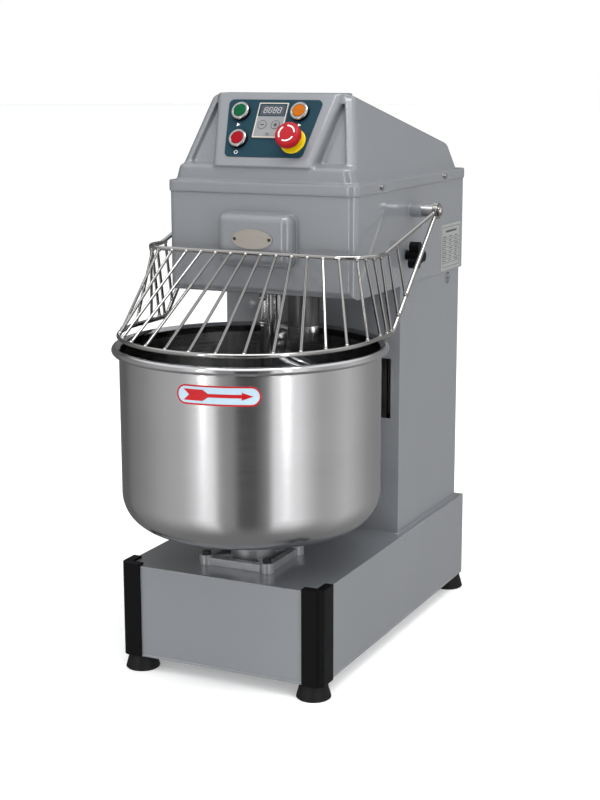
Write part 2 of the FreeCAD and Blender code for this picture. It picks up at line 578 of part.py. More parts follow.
# ---------------------------------------------------------------- spiral hook, its shaft and the breaker bar
sx, sy, reach, bar = cell("spiral_x"), cell("spiral_y"), cell("spiral_reach"), cell("spiral_bar")
arm_z = cell("hub_low") - bar + 1
coil_low = cell("spiral_low") + bar
TURNS, STEPS, DROP_FROM, HOOK_TURN = 1.15, 22, 0.12, 60
coil_points = [Vec(0, y, arm_z) for y in (0, 12, 24, 36, 47)]
for n in range(STEPS + 1):
    part = n / STEPS
    angle = math.radians(90 - 360 * TURNS * max(0, part - DROP_FROM) / (1 - DROP_FROM))
    near = 1 - 0.9 * max(0, part - 0.8) / 0.2
    drop = arm_z - 16 - (arm_z - 16 - coil_low) * part
    coil_points.append(Vec(reach * near * math.cos(angle), reach * near * math.sin(angle), drop))
curve = Part.BSplineCurve()
curve.interpolate(coil_points)
start_circle = Part.Circle(coil_points[0], curve.tangent(curve.FirstParameter)[0], bar)
coil = Part.Wire(curve.toShape()).makePipeShell([Part.Wire(start_circle.toShape())], True, False)
clamp = Part.makeCylinder(cell("hub_radius"), 24, Vec(0, 0, cell("hub_low") - 22))
clamp = clamp.cut(Part.makeCylinder(bar + 0.3, 60, Vec(0, 0, arm_z), Vec(0, 1, 0)))
hook = Part.makeCompound([coil, clamp])
hook.rotate(Vec(0, 0, 0), Vec(0, 0, 1), HOOK_TURN)
hook.translate(Vec(sx, sy, 0))
raw("spiral_hook", hook)
spiral_outline = [(0, cell("hub_low") + 2), (cell("hub_radius"), cell("hub_low") + 2),
                  (cell("hub_radius"), 614), (15, 614), (15, 682), (0, 682)]
profile_body("spiral_shaft", "Revolution", spiral_outline, spot=("spiral_x", "spiral_y", "0"))

rod("breaker_post", ("post_x", "post_y", "post_low"), "post_radius", "head_low - post_low")
breaker = profile_body("breaker_bar", "Revolution", [
    (0, cell("breaker_low")), (4, cell("breaker_low")),
    (cell("breaker_bar"), cell("breaker_low") + 6, 8.3, cell("breaker_low") + 1.7),
    (cell("breaker_bar"), 587), (0, 587)], spot=("breaker_x", "breaker_y", "0"))
raw("breaker_bolts", Part.makeCompound([
    Part.makeSphere(6, Vec(cell("breaker_x") - 1.2, cell("breaker_y") - 14, z)).cut(
        Part.makeCylinder(cell("breaker_bar"), 40, Vec(cell("breaker_x"), cell("breaker_y"), z - 20)))
    for z in (532, 573)]))

# ---------------------------------------------------------------- wire guard
px, py, pz = cell("pivot_x"), cell("pivot_y"), cell("pivot_z")
tx, ty, tz, arm_y = cell("top_rod_x"), cell("top_rod_y"), cell("top_rod_z"), cell("arm_y")
gr, gy, gz, ry = cell("ring_radius"), cell("ring_y"), cell("ring_z"), cell("riser_y")
rod_r, wire_r, eye = cell("rod"), cell("wire"), cell("eye")


def eye_end(corner):
    """Where a rod coming from corner meets the eye on the pivot."""
    return Vec(px, py, pz) + (Vec(*corner) - Vec(px, py, pz)).normalize() * eye


def whole_rod(half):
    """A rod's full centre line, from the left eye to the right one, made from its right half."""
    left = half.mirror(Vec(0, 0, 0), Vec(1, 0, 0))
    return Part.Wire(Part.__sortEdges__(left.Edges + half.Edges))


def point_along(half, run):
    """The point on a rod at a signed length from its middle, plus towards the right."""
    left_over = abs(run)
    for edge in half.Edges:
        if left_over <= edge.Length:
            spot = edge.valueAt(edge.getParameterByLength(left_over))
            return Vec(math.copysign(spot.x, run), spot.y, spot.z)
        left_over -= edge.Length
    raise ValueError("the rod is shorter than " + str(run))


top_half_path = bent_path([(0, ty, tz), (tx, ty, tz), (tx, arm_y, tz), tuple(eye_end((tx, arm_y, tz)))],
                          [cell("top_bend"), cell("riser_bend")])
diagonal = gr * math.sqrt(0.5)
quarter = Part.Arc(Vec(0, gy - gr, gz), Vec(diagonal, gy - diagonal, gz), Vec(gr, gy, gz))
ring_side = bent_path([(gr, gy, gz), (gr, ry, gz), tuple(eye_end((gr, ry, gz)))], [cell("riser_bend")])
ring_half_path = Part.Wire([quarter.toShape()] + ring_side.Edges)
top_rod = tube_along(whole_rod(top_half_path), rod_r)
ring_rod = tube_along(whole_rod(ring_half_path), rod_r)
raw("guard_top_rod", top_rod)
raw("guard_ring_rod", ring_rod)

# wires: lengths along the top rod and along the ring from the middle of each
WIRE_ENDS = [(21 + 25.7 * n, gr * math.radians(12.9 + 11.9 * n)) for n in range(-7, 6)]
for top_run, ring_run in ((177, 309), (190, 357), (206, 383), (227, 400), (255, 434), (286, 473)):
    WIRE_ENDS += [(top_run, ring_run), (-top_run, -ring_run)]
bars = []
for top_run, ring_run in WIRE_ENDS:
    top, foot = point_along(top_half_path, top_run), point_along(ring_half_path, ring_run)
    run = (foot - top).normalize() * (rod_r - 1.2)
    bars.append(between(tuple(top + run), tuple(foot - run), wire_r))
rods = [top_rod, ring_rod]
eyes, bushes, nuts = [], [], []
for sign in (-1, 1):
    axis = Vec(sign, 0, 0)
    spot = Vec(sign * px, py, pz)
    hub = Part.makeCylinder(eye, 7.4, spot - axis * 3.7, axis)
    eyes.append(hub.cut([Part.makeCylinder(6.05, 20, spot - axis * 10, axis)] + rods))
    wall_x = cell("head_width") / 2
    bushes.append(Part.makeCylinder(10, px - wall_x - 24.2, Vec(sign * (wall_x + 20), py, pz), axis).cut(
        Part.makeCylinder(6, 40, Vec(sign * wall_x, py, pz), axis)))
    stud = Part.makeCylinder(6, px - wall_x + 14, Vec(sign * (wall_x - 8), py, pz), axis)
    dome = Part.makeCylinder(8.5, 3, spot + axis * 4.1, axis).fuse(Part.makeSphere(7, spot + axis * 4.1))
    inboard = Part.makeBox(40, 40, 40, spot + axis * (4.1 - 20) - Vec(20, 20, 20))
    nuts.append(stud.fuse(dome.cut(inboard)))
raw("guard_bars", Part.makeCompound([bar_.cut(rods) for bar_ in bars] + eyes))
raw("pivot_bushes", Part.makeCompound(bushes))
raw("pivot_studs", Part.makeCompound(nuts))


# ---------------------------------------------------------------- drive train inside the machine
cx, cy, shaft_r = cell("counter_x"), cell("counter_y"), cell("shaft")
mx, my = cell("motor_x"), cell("motor_y")
ix, iy = cell("idler_x"), cell("idler_y")
bx, by = 0, cell("bowl_y")
LINK = 6


def sprocket(teeth, root, tip, thick_, spot, bore):
    """A chain wheel: one flank pair for each tooth, with a hub below it."""
    outline_ = []
    for tooth in range(teeth):
        for offset, radius in ((-0.3, root), (-0.12, tip), (0.12, tip), (0.3, root)):
            angle = 2 * math.pi * (tooth + offset) / teeth
            outline_.append(Vec(radius * math.cos(angle), radius * math.sin(angle), 0))
    wheel = Part.Face(Part.makePolygon(outline_ + outline_[:1])).extrude(Vec(0, 0, thick_))
    wheel.translate(Vec(*spot))
    wheel = wheel.fuse(Part.makeCylinder(bore + 7, thick_ + 10, Vec(spot[0], spot[1], spot[2] - 10)))
    return wheel.cut(Part.makeCylinder(bore, thick_ + 40, Vec(spot[0], spot[1], spot[2] - 20)))


def loop(first, radius_a, second, radius_b, thick_, low_, tall_):
    """An endless belt or chain round two wheels, as one smooth band."""
    def ribbon(extra):
        ra, rb = radius_a + extra, radius_b + extra
        gap = Vec(second[0] - first[0], second[1] - first[1], 0)
        heading = math.atan2(gap.y, gap.x)
        lean = math.acos((ra - rb) / gap.Length)
        spots = []
        for base, r, side in ((first, ra, 1), (second, rb, 1), (second, rb, -1), (first, ra, -1)):
            angle = heading + side * lean
            spots.append(Vec(base[0] + r * math.cos(angle), base[1] + r * math.sin(angle), low_))
        far_b = Vec(second[0] + rb * math.cos(heading), second[1] + rb * math.sin(heading), low_)
        far_a = Vec(first[0] - ra * math.cos(heading), first[1] - ra * math.sin(heading), low_)
        one, two, three, four = spots
        curves = (Part.LineSegment(one, two), Part.Arc(two, far_b, three),
                  Part.LineSegment(three, four), Part.Arc(four, far_a, one))
        return Part.Face(Part.Wire([curve.toShape() for curve in curves])).extrude(Vec(0, 0, tall_))
    return ribbon(thick_).cut(ribbon(0))


def pulley(radius, spot, grooves, bore):
    """A V-belt pulley with one groove for each belt."""
    depth, pitch = 6, 15
    outline_ = [(bore, 0), (radius, 0)]
    for n in range(grooves):
        z = 4 + pitch * n
        outline_ += [(radius, z), (radius - depth - 1, z + 3), (radius - depth - 1, z + 8), (radius, z + 11)]
    top = pitch * grooves + 4
    outline_ += [(radius, top), (bore, top)]
    points = [Vec(a, 0, b) for a, b in outline_]
    wheel = Part.Face(Part.makePolygon(points + points[:1])).revolve(Vec(0, 0, 0), Vec(0, 0, 1), 360)
    wheel.translate(Vec(*spot))
    return wheel


drive_r, motor_r, belt_z = cell("drive_pulley"), cell("motor_pulley"), cell("belt_z")
raw("drive_pulley", pulley(drive_r, (cx, cy, belt_z), 2, shaft_r))
raw("motor_pulley", pulley(motor_r, (mx, my, belt_z), 2, shaft_r))
belt = 6.5
raw("drive_belts", Part.makeCompound([
    loop((cx, cy), drive_r - belt, (mx, my), motor_r - belt, belt, belt_z + 7.4 + 15 * n, 4.2)
    for n in range(2)]))
rod("motor_shaft", ("motor_x", "motor_y", "572"), "shaft", "156")
motor_radius = cell("motor_radius")
motor_body = Part.makeCylinder(motor_radius, 190, Vec(mx, my, 403))
fins = [Part.makeBox(3, 2 * motor_radius + 10, 150, Vec(mx - 51.5 + 20 * n, my - motor_radius - 5, 420))
        for n in range(6)]
motor_body = motor_body.fuse(fins + [Part.makeCylinder(motor_radius + 8, 6, Vec(mx, my, 593))])
raw("motor", motor_body.cut(Part.makeCylinder(shaft_r + 1, 40, Vec(mx, my, 570))))
deck_low = cell("column_top")
deck = Part.makeBox(2 * 158, 444, 8, Vec(-158, -104, deck_low))
deck = deck.cut([Part.makeCylinder(26.5, 20, Vec(sx, sy, 590)), Part.makeCylinder(13, 20, Vec(mx, my, 590)),
                 Part.makeCylinder(12, 20, Vec(cx, cy, 590))])
deck = deck.fuse([ring(29, 22, 24, (cx, cy, deck_low + 8)), ring(33, 26.5, 24, (sx, sy, deck_low + 8)),
                  ring(22, 13, 12, (mx, my, deck_low + 8))])
raw("drive_deck", deck.removeSplitter())
raw("bearing_units", Part.makeCompound([
    ring(22, shaft_r + 0.05, 14, (cx, cy, 615)), ring(22, shaft_r + 0.05, 14, (cx, cy, 40)),
    ring(13, shaft_r + 0.05, 12, (mx, my, 607)), ring(26.5, 15.05, 14, (sx, sy, 617)),
    ring(22, shaft_r + 0.05, 14, (ix, iy, 40)), ring(28, 22, 27, (cx, cy, 27)),
    ring(28, 22, 27, (ix, iy, 27))] + bowl_bearings))
rod("counter_shaft", ("counter_x", "counter_y", "30"), "shaft", "706")
chain_a, chain_b, chain_c = 655, 100, 130
raw("counter_sprockets", Part.makeCompound([
    sprocket(12, 21, 26.5, 7, (cx, cy, z), shaft_r) for z in (chain_a, chain_b)]))
raw("spiral_sprocket", sprocket(18, 34, 40.5, 7, (sx, sy, chain_a), 15))
raw("idler_shaft", Part.makeCylinder(shaft_r, 112, Vec(ix, iy, 33)))
raw("idler_sprockets", Part.makeCompound([
    sprocket(40, 77, 83.5, 7, (ix, iy, chain_b), shaft_r),
    sprocket(12, 21, 26.5, 7, (ix, iy, chain_c), shaft_r)]))
raw("bowl_sprocket", sprocket(46, 90, 96.5, 7, (bx, by, chain_c), 14))
raw("drive_chains", Part.makeCompound([
    loop((cx, cy), 27, (sx, sy), 41, LINK, chain_a, 7), loop((cx, cy), 27, (ix, iy), 84, LINK, chain_b, 7),
    loop((ix, iy), 27, (bx, by), 97, LINK, chain_c, 7)]))
block("contactor_box", ("-145", "column_back - 65", "230"), ("-50", "column_back - 5", "330"))

# guide rollers that steady the bowl, standing out of the column's two slots
roller_r = cell("roller_radius")
roller_x = cell("roller_x")
roller_y = by + math.sqrt((R + roller_r + 0.3) ** 2 - roller_x ** 2)
wall_y = cell("column_front") + cell("sheet")
brackets = []
for side, sign in (("left", -1), ("right", 1)):
    x = sign * roller_x
    raw("guide_roller_" + side, ring(roller_r, 5.05, 56, (x, roller_y, 390)))
    fork = Part.makeBox(40, 6, 130, Vec(x - 20, wall_y, 353))
    for z in (381, 449):
        tongue = Part.makeBox(20, wall_y - roller_y, 5, Vec(x - 10, roller_y, z)).fuse(
            Part.makeCylinder(10, 5, Vec(x, roller_y, z)))
        fork = fork.fuse(tongue)
    fork = fork.cut(Part.makeCylinder(5, 100, Vec(x, roller_y, 370)))
    brackets.append(fork)
raw("roller_brackets", Part.makeCompound(brackets + [
    Part.makeCylinder(5, 80, Vec(s * roller_x, roller_y, 376)).fuse(
        Part.makeCylinder(7.5, 4, Vec(s * roller_x, roller_y, 454.5))) for s in (-1, 1)]))

# three-lobed clamp knob on the right of the head
ky, kz, kx = cell("knob_y"), cell("knob_z"), cell("head_width") / 2
knob = Part.makeCylinder(12, 18, Vec(kx + 8, ky, kz), Vec(1, 0, 0))
for n in range(3):
    angle = math.radians(110 + 120 * n)
    lobe_y, lobe_z = ky + 15 * math.cos(angle), kz + 15 * math.sin(angle)
    knob = knob.fuse(Part.makeCylinder(8.5, 16, Vec(kx + 9, lobe_y, lobe_z), Vec(1, 0, 0)))
knob = knob.fuse(Part.makeCylinder(8, 8, Vec(kx + 0.4, ky, kz), Vec(1, 0, 0)))
knob = knob.removeSplitter()
raw("clamp_knob", knob.fuse(Part.makeCylinder(5, 30, Vec(kx - 22, ky, kz), Vec(1, 0, 0))).removeSplitter())

# ---------------------------------------------------------------- checks and export
doc.recompute()
for obj in doc.Objects:
    if "Invalid" in obj.State or "Error" in obj.State:
        raise RuntimeError(f"{obj.Name} failed: {obj.State}")
used = {feature.Name for obj in doc.Objects for feature in obj.OutList}
subparts = [obj for obj in doc.Objects if hasattr(obj, "Shape") and obj.Name not in used]
for obj in subparts:
    obj.Label = obj.Name
    if obj.Shape.isNull() or not obj.Shape.isValid():
        raise RuntimeError(f"{obj.Name} has no valid shape")
os.makedirs("parts", exist_ok=True)
for obj in subparts:
    obj.Shape.exportStep(f"parts/{obj.Label}.step")
    print(obj.Label, round(obj.Shape.Volume), len(obj.Shape.Solids))
print(len(subparts), "sub-parts")
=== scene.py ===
import math
import bmesh
import bpy
import json
from mathutils import Matrix, Vector, noise
from mathutils.geometry import tessellate_polygon


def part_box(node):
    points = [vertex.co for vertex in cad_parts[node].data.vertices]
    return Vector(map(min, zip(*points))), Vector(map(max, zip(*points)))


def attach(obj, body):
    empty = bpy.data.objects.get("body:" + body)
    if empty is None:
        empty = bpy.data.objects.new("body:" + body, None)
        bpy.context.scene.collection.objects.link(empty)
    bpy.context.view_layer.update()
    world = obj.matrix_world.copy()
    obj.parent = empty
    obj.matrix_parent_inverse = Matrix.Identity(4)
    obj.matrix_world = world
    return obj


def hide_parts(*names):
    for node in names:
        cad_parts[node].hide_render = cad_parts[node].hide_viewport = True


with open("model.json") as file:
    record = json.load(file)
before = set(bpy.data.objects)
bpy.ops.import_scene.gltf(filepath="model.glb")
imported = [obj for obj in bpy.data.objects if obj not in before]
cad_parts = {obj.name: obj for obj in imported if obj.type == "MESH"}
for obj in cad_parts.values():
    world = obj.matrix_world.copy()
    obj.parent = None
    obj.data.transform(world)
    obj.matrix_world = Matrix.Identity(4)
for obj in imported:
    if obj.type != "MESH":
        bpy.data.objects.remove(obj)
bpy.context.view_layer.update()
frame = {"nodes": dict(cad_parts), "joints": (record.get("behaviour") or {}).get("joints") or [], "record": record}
nodes = frame["nodes"]


# ---------------------------------------------------------------- materials
class Shader:
    """One Principled material, with short calls that add nodes to it."""

    def __init__(self, name, colour, roughness, metallic=0.0, **inputs):
        self.material = bpy.data.materials.new(name)
        self.material.use_nodes = True
        self.tree = self.material.node_tree
        self.surface = self.tree.nodes["Principled BSDF"]
        self.colour = (*colour, 1.0)
        self.surface.inputs["Base Color"].default_value = self.colour
        self.surface.inputs["Roughness"].default_value = roughness
        self.surface.inputs["Metallic"].default_value = metallic
        for label, value in inputs.items():
            self.surface.inputs[label.replace("_", " ")].default_value = value
        self.normal = None
        self.here = self.add("ShaderNodeTexCoord").outputs["Object"]

    def add(self, kind, **settings):
        """Add a node; each setting is an attribute of it or the value of an input."""
        node = self.tree.nodes.new(kind)
        for key, value in settings.items():
            if hasattr(node, key):
                setattr(node, key, value)
            else:
                node.inputs[key].default_value = value
        return node

    def link(self, source, target):
        """Join an output to an input."""
        self.tree.links.new(source, target)

    def place(self, stretch):
        """Object coordinates, stretched so that a noise becomes grain along an axis."""
        mapping = self.add("ShaderNodeMapping", Scale=stretch)
        self.link(self.here, mapping.inputs["Vector"])
        return mapping.outputs["Vector"]

    def noise(self, scale, detail=3.0, stretch=(1, 1, 1), rough=0.5):
        """A noise texture in object coordinates, as a value."""
        texture = self.add("ShaderNodeTexNoise", Scale=scale, Detail=detail, Roughness=rough)
        self.link(self.place(stretch), texture.inputs["Vector"])
        return texture.outputs["Fac"]

    def span(self, fac, low, high, out_low, out_high):
        """A value from one range into another, clamped."""
        node = self.add("ShaderNodeMapRange")
        limits = {"From Min": low, "From Max": high, "To Min": out_low, "To Max": out_high}
        for label, value in limits.items():
            node.inputs[label].default_value = value
        self.link(fac, node.inputs["Value"])
        return node.outputs["Result"]

    def blend(self, fac, under, over):
        """Colours mixed by a factor; a colour is a socket or three numbers."""
        node = self.add("ShaderNodeMix", data_type="RGBA")
        for socket, value in ((node.inputs[6], under), (node.inputs[7], over)):
            if isinstance(value, tuple):
                socket.default_value = (*value[:3], 1.0)
            else:
                self.link(value, socket)
        self.link(fac, node.inputs[0])
        return node.outputs[2]

    def tint(self, shade, fac):
        """Lay a colour over what the surface has, by a factor."""
        current = self.surface.inputs["Base Color"]
        under = current.links[0].from_socket if current.links else self.colour
        self.link(self.blend(fac, under, shade), current)
        return self

    def mottle(self, scale, amount, stretch=(1, 1, 1)):
        """Slow variation of the colour."""
        darker = tuple(c * (1 - amount) for c in self.colour[:3])
        return self.tint(darker, self.span(self.noise(scale, 4, stretch), 0.25, 0.75, 0, 1))

    def sheen_of(self, scale, low, high, stretch=(1, 1, 1)):
        """Roughness that varies between two values."""
        level = self.span(self.noise(scale, 4, stretch), 0.3, 0.7, low, high)
        self.link(level, self.surface.inputs["Roughness"])
        return self

    def bump(self, height, strength, distance):
        """Add a bump to the normal that the surface has so far."""
        node = self.add("ShaderNodeBump", Strength=strength, Distance=distance)
        self.link(height, node.inputs["Height"])
        if self.normal is not None:
            self.link(self.normal, node.inputs["Normal"])
        self.normal = node.outputs["Normal"]
        self.link(self.normal, self.surface.inputs["Normal"])
        return self

    def grain(self, scale, strength, distance=0.0003, stretch=(1, 1, 1), detail=3.0):
        """A bump made by noise."""
        return self.bump(self.noise(scale, detail, stretch), strength, distance)

    def soft_edges(self, radius, painted_highlight=None, amount=0.5):
        """Rounded edges in the shading, and a painted highlight: a line of the given colour along them."""
        bevel = self.add("ShaderNodeBevel", samples=6, Radius=radius)
        self.normal = bevel.outputs["Normal"]
        self.link(self.normal, self.surface.inputs["Normal"])
        if painted_highlight:
            flat = self.add("ShaderNodeNewGeometry")
            dot = self.add("ShaderNodeVectorMath", operation="DOT_PRODUCT")
            self.link(flat.outputs["Normal"], dot.inputs[0])
            self.link(self.normal, dot.inputs[1])
            # Mask of the painted highlight: where the bevelled normal turns away from the flat one.
            edge = self.span(dot.outputs["Value"], 0.985, 0.86, 0, amount)
            self.tint(painted_highlight, edge)
        return self


def painted(name, colour, orange_peel=0.04):
    """Glossy enamel with a painted highlight along its edges and a slight orange peel."""
    paint = Shader(name, colour, 0.32, Coat_Weight=1.0, Coat_Roughness=0.08)
    # The edges are lightened in the colour: a painted highlight line, not wear.
    paint.soft_edges(0.0022, tuple(min(1, c * 2.8) for c in colour), 0.8)
    paint.mottle(5, 0.04).sheen_of(7, 0.3, 0.36)
    paint.grain(300, orange_peel, 0.0002)
    return paint


def steel(name, colour, low, high, grain=(1, 1, 1), depth=0.05, **inputs):
    """Bare metal with a brushed or drawn grain."""
    metal = Shader(name, colour, low, 1.0, **inputs)
    metal.mottle(6, 0.1, grain).sheen_of(60, low, high, grain)
    metal.grain(400, depth, 0.0001, grain)
    return metal


def plastic(name, colour, rough, grit=900, depth=0.12, **inputs):
    """Moulded plastic with a fine grit."""
    moulded = Shader(name, colour, rough, **inputs)
    moulded.mottle(30, 0.12).sheen_of(40, rough * 0.85, rough * 1.15)
    moulded.grain(grit, depth, 0.0002)
    return moulded


PAINT = (0.172, 0.181, 0.195)
paint = painted("grey_enamel", PAINT)


def bowl_steel():
    """Satin steel turned on a lathe: fine rings outside, a polished rim, and painted dark reflections in vertical
    streaks on the upper inner wall.
    """
    metal = Shader("spun_stainless", (0.70, 0.70, 0.71), 0.22, 1.0, Anisotropic=0.65,
                   Anisotropic_Rotation=0.25)
    tangent = metal.add("ShaderNodeTangent", direction_type="RADIAL", axis="Z")
    metal.link(tangent.outputs["Tangent"], metal.surface.inputs["Tangent"])
    place = metal.add("ShaderNodeSeparateXYZ")
    metal.link(metal.here, place.inputs["Vector"])
    polished = metal.span(place.outputs["Z"], RIM_LOW - 0.001, RIM_LOW + 0.002, 0.0, 1.0)
    fine = metal.span(metal.noise(900, 2, (0.01, 0.01, 1.0)), 0.3, 0.7, 0.17, 0.27)
    rough = metal.add("ShaderNodeMix", data_type="FLOAT")
    metal.link(polished, rough.inputs[0])
    metal.link(fine, rough.inputs[2])
    rough.inputs[3].default_value = 0.05
    metal.link(rough.outputs[0], metal.surface.inputs["Roughness"])
    metal.mottle(5, 0.06, (1, 1, 3))
    metal.grain(700, 0.03, 0.0001, (0.02, 0.02, 1.0))
    from_axis = metal.add("ShaderNodeVectorMath", operation="SUBTRACT")
    metal.link(metal.here, from_axis.inputs[0])
    from_axis.inputs[1].default_value = BOWL_AXIS
    level = metal.add("ShaderNodeVectorMath", operation="MULTIPLY")
    metal.link(from_axis.outputs["Vector"], level.inputs[0])
    level.inputs[1].default_value = (1, 1, 0)
    radius = metal.add("ShaderNodeVectorMath", operation="LENGTH")
    metal.link(level.outputs["Vector"], radius.inputs[0])
    inside = metal.span(radius.outputs["Value"], BOWL_RADIUS - 0.0012, BOWL_RADIUS - 0.0008, 0.86, 0.0)
    upper = metal.add("ShaderNodeMath", operation="MULTIPLY")
    metal.link(inside, upper.inputs[0])
    # Painted reflection: the upper inner wall is darkened to grey in vertical streaks.
    painted_reflection_end, painted_reflection_full = RIM_LOW - 0.19, RIM_LOW - 0.14
    metal.link(metal.span(place.outputs["Z"], painted_reflection_end, painted_reflection_full, 0, 1), upper.inputs[1])
    painted_reflection_level = metal.span(metal.noise(34, 4, (1, 1, 0.03)), 0.35, 0.65, 0.13, 0.38)
    grey = metal.add("ShaderNodeCombineColor")
    for channel in grey.inputs:
        metal.link(painted_reflection_level, channel)
    metal.tint(grey.outputs[0], upper.outputs["Value"])
    return metal


RIM_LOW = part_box("bowl")[1].z - 0.0155
BOWL_AXIS = tuple((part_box("bowl")[0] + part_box("bowl")[1]) / 2)
BOWL_RADIUS = 0.202
stainless = bowl_steel()
bright = steel("polished_stainless", (0.66, 0.66, 0.66), 0.1, 0.22, (1, 1, 0.1))
chrome = steel("drawn_bright_wire", (0.50, 0.49, 0.475), 0.05, 0.1, (1, 1, 1), 0.01)
chrome.soft_edges(0.0006)
plated = steel("zinc_plate", (0.55, 0.55, 0.56), 0.22, 0.38)
dark_steel = steel("oiled_steel", (0.07, 0.07, 0.075), 0.3, 0.5)
# Painted shade: a near-black colour makes the spiral's shaft as dark as it looks in shade.
shaft_steel_painted_shade = steel("shaft_painted_shade", (0.13, 0.13, 0.13), 0.25, 0.45, (1, 1, 0.06))
cast = Shader("cast_alloy", (0.52, 0.53, 0.55), 0.42, 0.75)
# The lighter line along the cast edges is a painted highlight.
cast.soft_edges(0.001, (0.75, 0.75, 0.76), 0.4).mottle(50, 0.12)
cast.sheen_of(60, 0.34, 0.52).grain(420, 0.35, 0.0004)
black = plastic("black_moulding", (0.004, 0.004, 0.0045), 0.34, 500, 0.06, Specular_IOR_Level=0.08)
black.soft_edges(0.0015)
rubber = plastic("black_rubber", (0.007, 0.007, 0.007), 0.5, 700, 0.25, Specular_IOR_Level=0.2)
panel_film = plastic("teal_film", (0.014, 0.042, 0.060), 0.36, 1500, 0.1, Specular_IOR_Level=0.06)
grey_face = plastic("timer_face", (0.21, 0.215, 0.22), 0.42, 1200, 0.12)
beige = plastic("timer_rim", (0.55, 0.49, 0.42), 0.4, 1200, 0.1)
smoked = Shader("smoked_window", (0.03, 0.035, 0.045), 0.08, Coat_Weight=1.0)
smoked.mottle(60, 0.2).sheen_of(40, 0.05, 0.12)
digit_grey = plastic("unlit_segments", (0.45, 0.47, 0.5), 0.4, 900, 0.05)
mark_white = plastic("white_print", (0.8, 0.8, 0.8), 0.4, 900, 0.05)
mark_black = plastic("black_print", (0.015, 0.015, 0.016), 0.4, 900, 0.05)
green = plastic("green_lens", (0.0, 0.080, 0.028), 0.3, 1600, 0.35, Specular_IOR_Level=0.12)
red = plastic("red_lens", (0.26, 0.001, 0.007), 0.3, 1600, 0.35, Specular_IOR_Level=0.12)
orange = plastic("orange_lens", (0.42, 0.105, 0.0), 0.3, 1600, 0.35, Specular_IOR_Level=0.12)
stop_red = plastic("stop_red", (0.34, 0.006, 0.012), 0.34, 700, 0.05, Specular_IOR_Level=0.2)
yellow = plastic("stop_yellow", (0.80, 0.56, 0.004), 0.35, 700, 0.06, Specular_IOR_Level=0.3)
champagne = steel("champagne_metal", (0.42, 0.39, 0.35), 0.28, 0.42, (0.05, 1, 1), 0.1)
film_blue = plastic("pale_blue_film", (0.44, 0.58, 0.68), 0.3, 900, 0.05, Specular_IOR_Level=0.3)
film_red = plastic("red_print", (0.46, 0.004, 0.008), 0.32, 900, 0.05, Specular_IOR_Level=0.3)
plate_film = plastic("plate_film", (0.27, 0.275, 0.27), 0.4, 900, 0.06)
plate_ink = plastic("plate_ink", (0.07, 0.07, 0.07), 0.45, 900, 0.05)
belt = plastic("belt_rubber", (0.03, 0.03, 0.03), 0.6, 500, 0.3)
liner = plastic("liner_sheet", (0.42, 0.36, 0.30), 0.5, 300, 0.2)
nylon = plastic("white_nylon", (0.7, 0.69, 0.65), 0.4, 300, 0.1)

FINISH = {
    "painted_steel": paint, "black_plastic": black, "black_rubber": rubber, "stainless": bright,
    "chrome_wire": chrome, "plated_steel": plated, "dark_steel": dark_steel, "cast_alloy": cast,
    "teal_panel": panel_film, "timer_grey": grey_face, "timer_glass": smoked, "green_lens": green,
    "red_lens": red, "orange_lens": orange, "stop_red": stop_red, "stop_yellow": yellow,
    "badge_metal": champagne, "label_film": film_blue, "plate_metal": plate_film, "belt_rubber": belt,
    "nylon": nylon,
}
SLOTS = {part["node"]: part["material_slot"] for part in frame["record"]["subparts"]}


def dress(obj, shader):
    """Give an object one material."""
    obj.data.materials.clear()
    obj.data.materials.append(shader.material)


for name, obj in nodes.items():
    dress(obj, FINISH[SLOTS[name]])
dress(nodes["bowl"], stainless)
dress(nodes["bowl_hub"], cast)
# The spiral's shaft gets the steel whose dark colour is painted shade.
dress(nodes["spiral_shaft"], shaft_steel_painted_shade)


# ---------------------------------------------------------------- helpers for the pieces
def finished(name, shape, body, shader, angle=35):
    """Turn a bmesh into a piece that rides on a body."""
    mesh = bpy.data.meshes.new(name)
    bmesh.ops.recalc_face_normals(shape, faces=shape.faces)
    shape.to_mesh(mesh)
    shape.free()
    mesh.shade_smooth()
    mesh.set_sharp_from_angle(angle=math.radians(angle))
    obj = bpy.data.objects.new(name, mesh)
    bpy.context.scene.collection.objects.link(obj)
    dress(obj, shader)
    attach(obj, body)
    return obj


def add_prism(shape, loops, low, high, place, slices=()):
    """Add a flat outline with holes, between two heights, laid on a surface by place(x, y, height)."""
    start = set(shape.verts)
    flat = [[Vector((x, y, 0)) for x, y in loop] for loop in loops]
    corners = [shape.verts.new(point) for loop in flat for point in loop]
    for triangle in tessellate_polygon(flat):
        shape.faces.new([corners[i] for i in triangle])
    for x in slices:
        mine = [v for v in shape.verts if v not in start]
        faces = [f for f in shape.faces if f.verts[0] not in start]
        edges = [e for e in shape.edges if e.verts[0] not in start]
        bmesh.ops.bisect_plane(shape, geom=mine + edges + faces, plane_co=(x, 0, 0), plane_no=(1, 0, 0))
    faces = [f for f in shape.faces if f.verts[0] not in start]
    raised = bmesh.ops.extrude_face_region(shape, geom=faces)
    upper = {v for v in raised["geom"] if isinstance(v, bmesh.types.BMVert)}
    for vert in [v for v in shape.verts if v not in start]:
        vert.co = place(vert.co.x, vert.co.y, high if vert in upper else low)


def circle(x, y, radius, count=48):
    """Points of a circle about (x, y)."""
    return [(x + radius * math.cos(2 * math.pi * i / count), y + radius * math.sin(2 * math.pi * i / count))
            for i in range(count)]


def rectangle(x0, y0, x1, y1):
    """Four corners, counter-clockwise."""
    return [(x0, y0), (x1, y0), (x1, y1), (x0, y1)]


def rounded_rectangle(x0, y0, x1, y1, radius, count=6):
    """A rectangle with round corners, counter-clockwise."""
    points = []
    for cx, cy, start in ((x1 - radius, y0 + radius, -90), (x1 - radius, y1 - radius, 0),
                          (x0 + radius, y1 - radius, 90), (x0 + radius, y0 + radius, 180)):
        for i in range(count + 1):
            angle = math.radians(start + 90 * i / count)
            points.append((cx + radius * math.cos(angle), cy + radius * math.sin(angle)))
    return points


